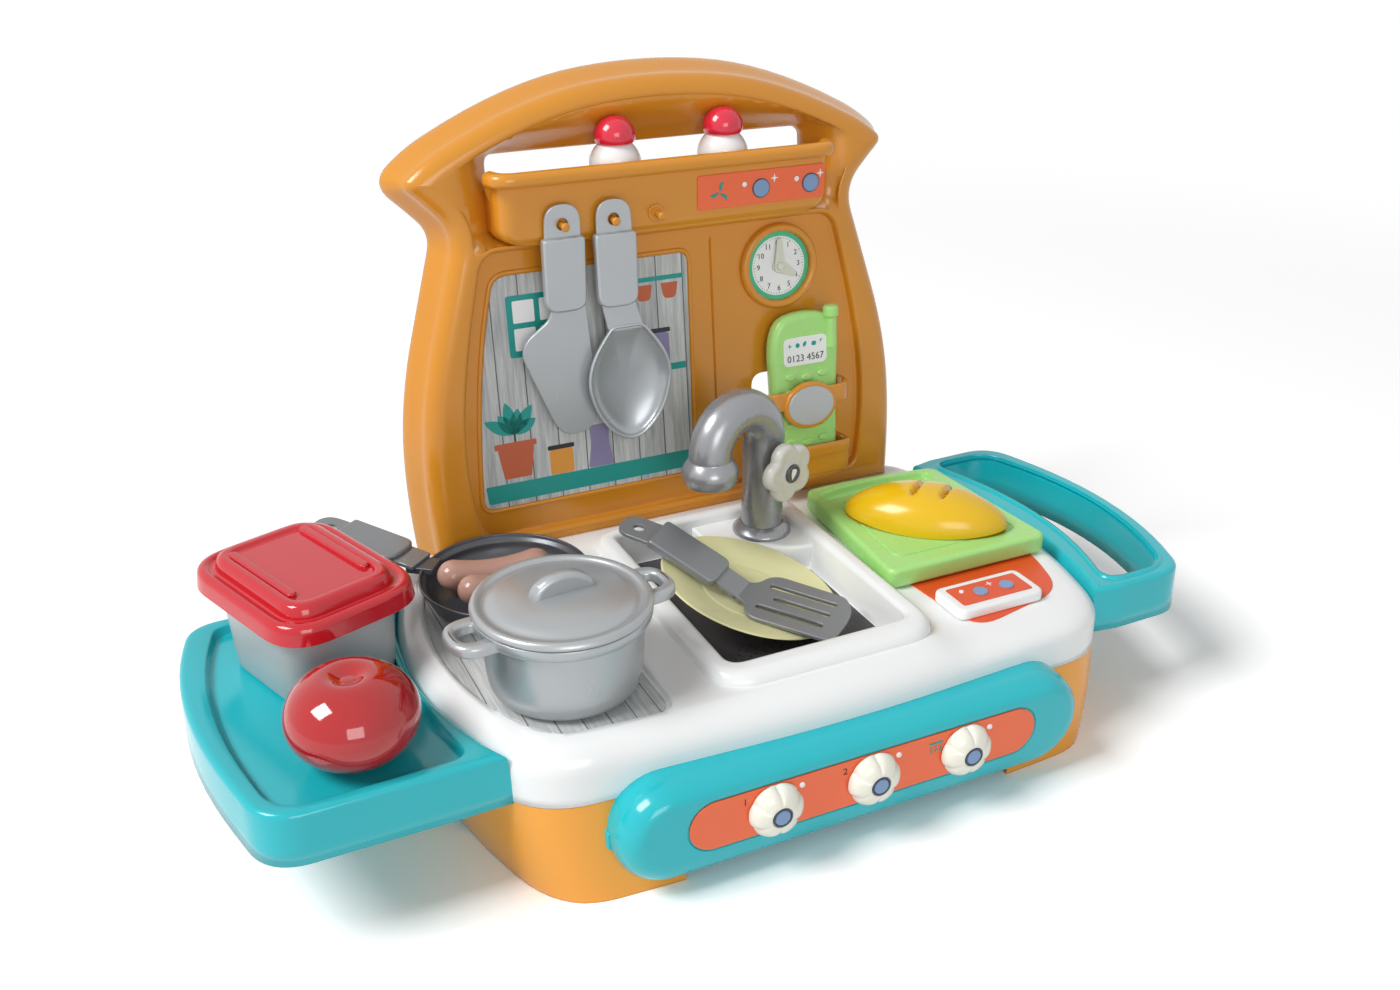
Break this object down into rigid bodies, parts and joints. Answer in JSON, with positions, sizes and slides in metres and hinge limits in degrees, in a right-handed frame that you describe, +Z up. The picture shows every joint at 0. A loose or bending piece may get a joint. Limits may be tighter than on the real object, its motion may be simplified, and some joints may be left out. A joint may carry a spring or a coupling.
{
  "type": "toy kitchen",
  "caption": "Tabletop toy kitchen with sink and tap, hob, control knobs, clock panel with shelf and hooks, side tray, carry handle and lift-off cooking accessories.",
  "frame": {"origin": "on the floor, under the middle of the whole play set", "axes": "+Z up, +X to the right as seen from the front, -Y to the front, where the control knobs are"},
  "size_m": [0.6155, 0.317, 0.3843],
  "materials": {
    "orange": "gloss",
    "white": "gloss",
    "plank_label": "printed label",
    "dark_label": "printed label",
    "red_label": "printed label",
    "turquoise": "gloss",
    "cream": "gloss",
    "green": "gloss",
    "tap_grey": "satin",
    "pot_grey": "metallic lacquer",
    "pan_black": "satin",
    "box_grey": "satin",
    "red": "high gloss",
    "plate_cream": "satin",
    "steel_grey": "metallic lacquer",
    "bread_yellow": "satin",
    "blue": "gloss",
    "sausage": "satin"
  },
  "bodies": {
    "kitchen": {"base_tub": "orange", "worktop": "white", "hob_sticker": "plank_label", "sink_sticker": "dark_label", "scale_sticker": "red_label", "scale_panel": "white", "scale_label": "red_label", "control_bezel": "turquoise", "control_label": "red_label", "serving_tray": "turquoise", "carry_handle": "turquoise", "back_panel": "orange", "window_sticker": "plank_label", "clock_ring": "orange", "clock_face": "plank_label", "clock_pin": "cream", "phone_holder": "orange", "holder_badge": "plank_label", "shelf": "orange", "hood_sticker": "red_label", "tap_flange": "tap_grey", "knob_clip_1": "steel_grey", "hook_1": "orange", "knob_clip_2": "steel_grey", "hook_2": "orange", "knob_clip_3": "steel_grey", "hook_3": "orange"},
    "knob_1_body": {"knob_1": "cream", "knob_cap_1": "blue"},
    "knob_2_body": {"knob_2": "cream", "knob_cap_2": "blue"},
    "knob_3_body": {"knob_3": "cream", "knob_cap_3": "blue"},
    "hour_hand_body": {"hour_hand": "cream"},
    "minute_hand_body": {"minute_hand": "cream"},
    "tap_spout": {"tap_body": "tap_grey"},
    "tap_flower": {"tap_handle": "cream", "tap_handle_cap": "tap_grey"},
    "spatula_body": {"flat_spatula": "steel_grey"},
    "spoon_body": {"spoon": "steel_grey"},
    "phone_body": {"phone": "green", "phone_screen": "plank_label"},
    "pot_body": {"pot": "pot_grey"},
    "pot_lid_body": {"pot_lid": "pot_grey"},
    "pan_body": {"pan": "pan_black", "pan_handle": "tap_grey"},
    "sausage_1_body": {"sausage_1": "sausage"},
    "sausage_2_body": {"sausage_2": "sausage"},
    "box_body": {"storage_box": "box_grey"},
    "box_lid_body": {"box_lid": "red"},
    "tomato_body": {"tomato": "red"},
    "plate_body": {"plate": "plate_cream"},
    "turner_body": {"turner": "tap_grey"},
    "board_body": {"cutting_board": "green"},
    "bread_body": {"bread": "bread_yellow"},
    "shaker_1_body": {"shaker_1": "white", "shaker_cap_1": "red"},
    "shaker_2_body": {"shaker_2": "white", "shaker_cap_2": "red"}
  },
  "joints": [
    {"name": "knob_1_turn", "type": "hinge", "parent": "kitchen", "child": "knob_1_body", "pos_m": [-0.0353, -0.1482, 0.043], "axis": [0, -1, 0], "range_deg": [-150, 150]},
    {"name": "knob_2_turn", "type": "hinge", "parent": "kitchen", "child": "knob_2_body", "pos_m": [0.0255, -0.1482, 0.043], "axis": [0, -1, 0], "range_deg": [-150, 150]},
    {"name": "knob_3_turn", "type": "hinge", "parent": "kitchen", "child": "knob_3_body", "pos_m": [0.0863, -0.1482, 0.043], "axis": [0, -1, 0], "range_deg": [-150, 150]},
    {"name": "hour_hand_turn", "type": "hinge", "parent": "kitchen", "child": "hour_hand_body", "pos_m": [0.1075, 0.12299, 0.24934], "axis": [0, -0.9947, 0.1028], "continuous": true},
    {"name": "minute_hand_turn", "type": "hinge", "parent": "kitchen", "child": "minute_hand_body", "pos_m": [0.1075, 0.12299, 0.24934], "axis": [0, -0.9947, 0.1028], "continuous": true},
    {"name": "tap_swivel", "type": "hinge", "parent": "kitchen", "child": "tap_spout", "pos_m": [0.0635, 0.0565, 0.092], "axis": [0, 0, 1], "range_deg": [-45, 60]},
    {"name": "tap_handle_turn", "type": "hinge", "parent": "tap_spout", "child": "tap_flower", "pos_m": [0.06906, 0.03938, 0.1418], "axis": [0.309, -0.9511, 0], "continuous": true},
    {"name": "spatula_swing", "type": "hinge", "parent": "kitchen", "child": "spatula_body", "pos_m": [-0.049, 0.1075, 0.298], "axis": [0, -1, 0], "range_deg": [-10, 0.6]},
    {"name": "spoon_swing", "type": "hinge", "parent": "kitchen", "child": "spoon_body", "pos_m": [-0.0165, 0.1059, 0.298], "axis": [0, -1, 0], "range_deg": [-0.8, 10]},
    {"name": "phone_lift", "type": "slide", "parent": "kitchen", "child": "phone_body", "axis": [0, 0.1028, 0.9947], "range_m": [0, 0.05]},
    {"name": "pot_lift", "type": "slide", "parent": "kitchen", "child": "pot_body", "axis": [0, 0, 1], "range_m": [0, 0.1]},
    {"name": "pot_lid_lift", "type": "slide", "parent": "pot_body", "child": "pot_lid_body", "axis": [0, 0, 1], "range_m": [0, 0.06]},
    {"name": "pan_lift", "type": "slide", "parent": "kitchen", "child": "pan_body", "axis": [0, 0, 1], "range_m": [0, 0.08]},
    {"name": "sausage_1_lift", "type": "slide", "parent": "pan_body", "child": "sausage_1_body", "axis": [0, 0, 1], "range_m": [0, 0.05]},
    {"name": "sausage_2_lift", "type": "slide", "parent": "pan_body", "child": "sausage_2_body", "axis": [0, 0, 1], "range_m": [0, 0.05]},
    {"name": "box_lift", "type": "slide", "parent": "kitchen", "child": "box_body", "axis": [0, 0, 1], "range_m": [0, 0.09]},
    {"name": "box_lid_lift", "type": "slide", "parent": "box_body", "child": "box_lid_body", "axis": [0, 0, 1], "range_m": [0, 0.06]},
    {"name": "tomato_lift", "type": "slide", "parent": "kitchen", "child": "tomato_body", "axis": [0, 0, 1], "range_m": [0, 0.08]},
    {"name": "plate_lift", "type": "slide", "parent": "kitchen", "child": "plate_body", "axis": [0, 0, 1], "range_m": [0, 0.03]},
    {"name": "turner_lift", "type": "slide", "parent": "plate_body", "child": "turner_body", "axis": [0, 0, 1], "range_m": [0, 0.05]},
    {"name": "board_lift", "type": "slide", "parent": "kitchen", "child": "board_body", "axis": [0, 0, 1], "range_m": [0, 0.08]},
    {"name": "bread_lift", "type": "slide", "parent": "board_body", "child": "bread_body", "axis": [0, 0, 1], "range_m": [0, 0.05]},
    {"name": "shaker_1_turn", "type": "hinge", "parent": "kitchen", "child": "shaker_1_body", "pos_m": [-0.0045, 0.1297, 0.289], "axis": [0, 0, 1], "continuous": true},
    {"name": "shaker_2_turn", "type": "hinge", "parent": "kitchen", "child": "shaker_2_body", "pos_m": [0.069, 0.1297, 0.289], "axis": [0, 0, 1], "continuous": true}
  ]
}
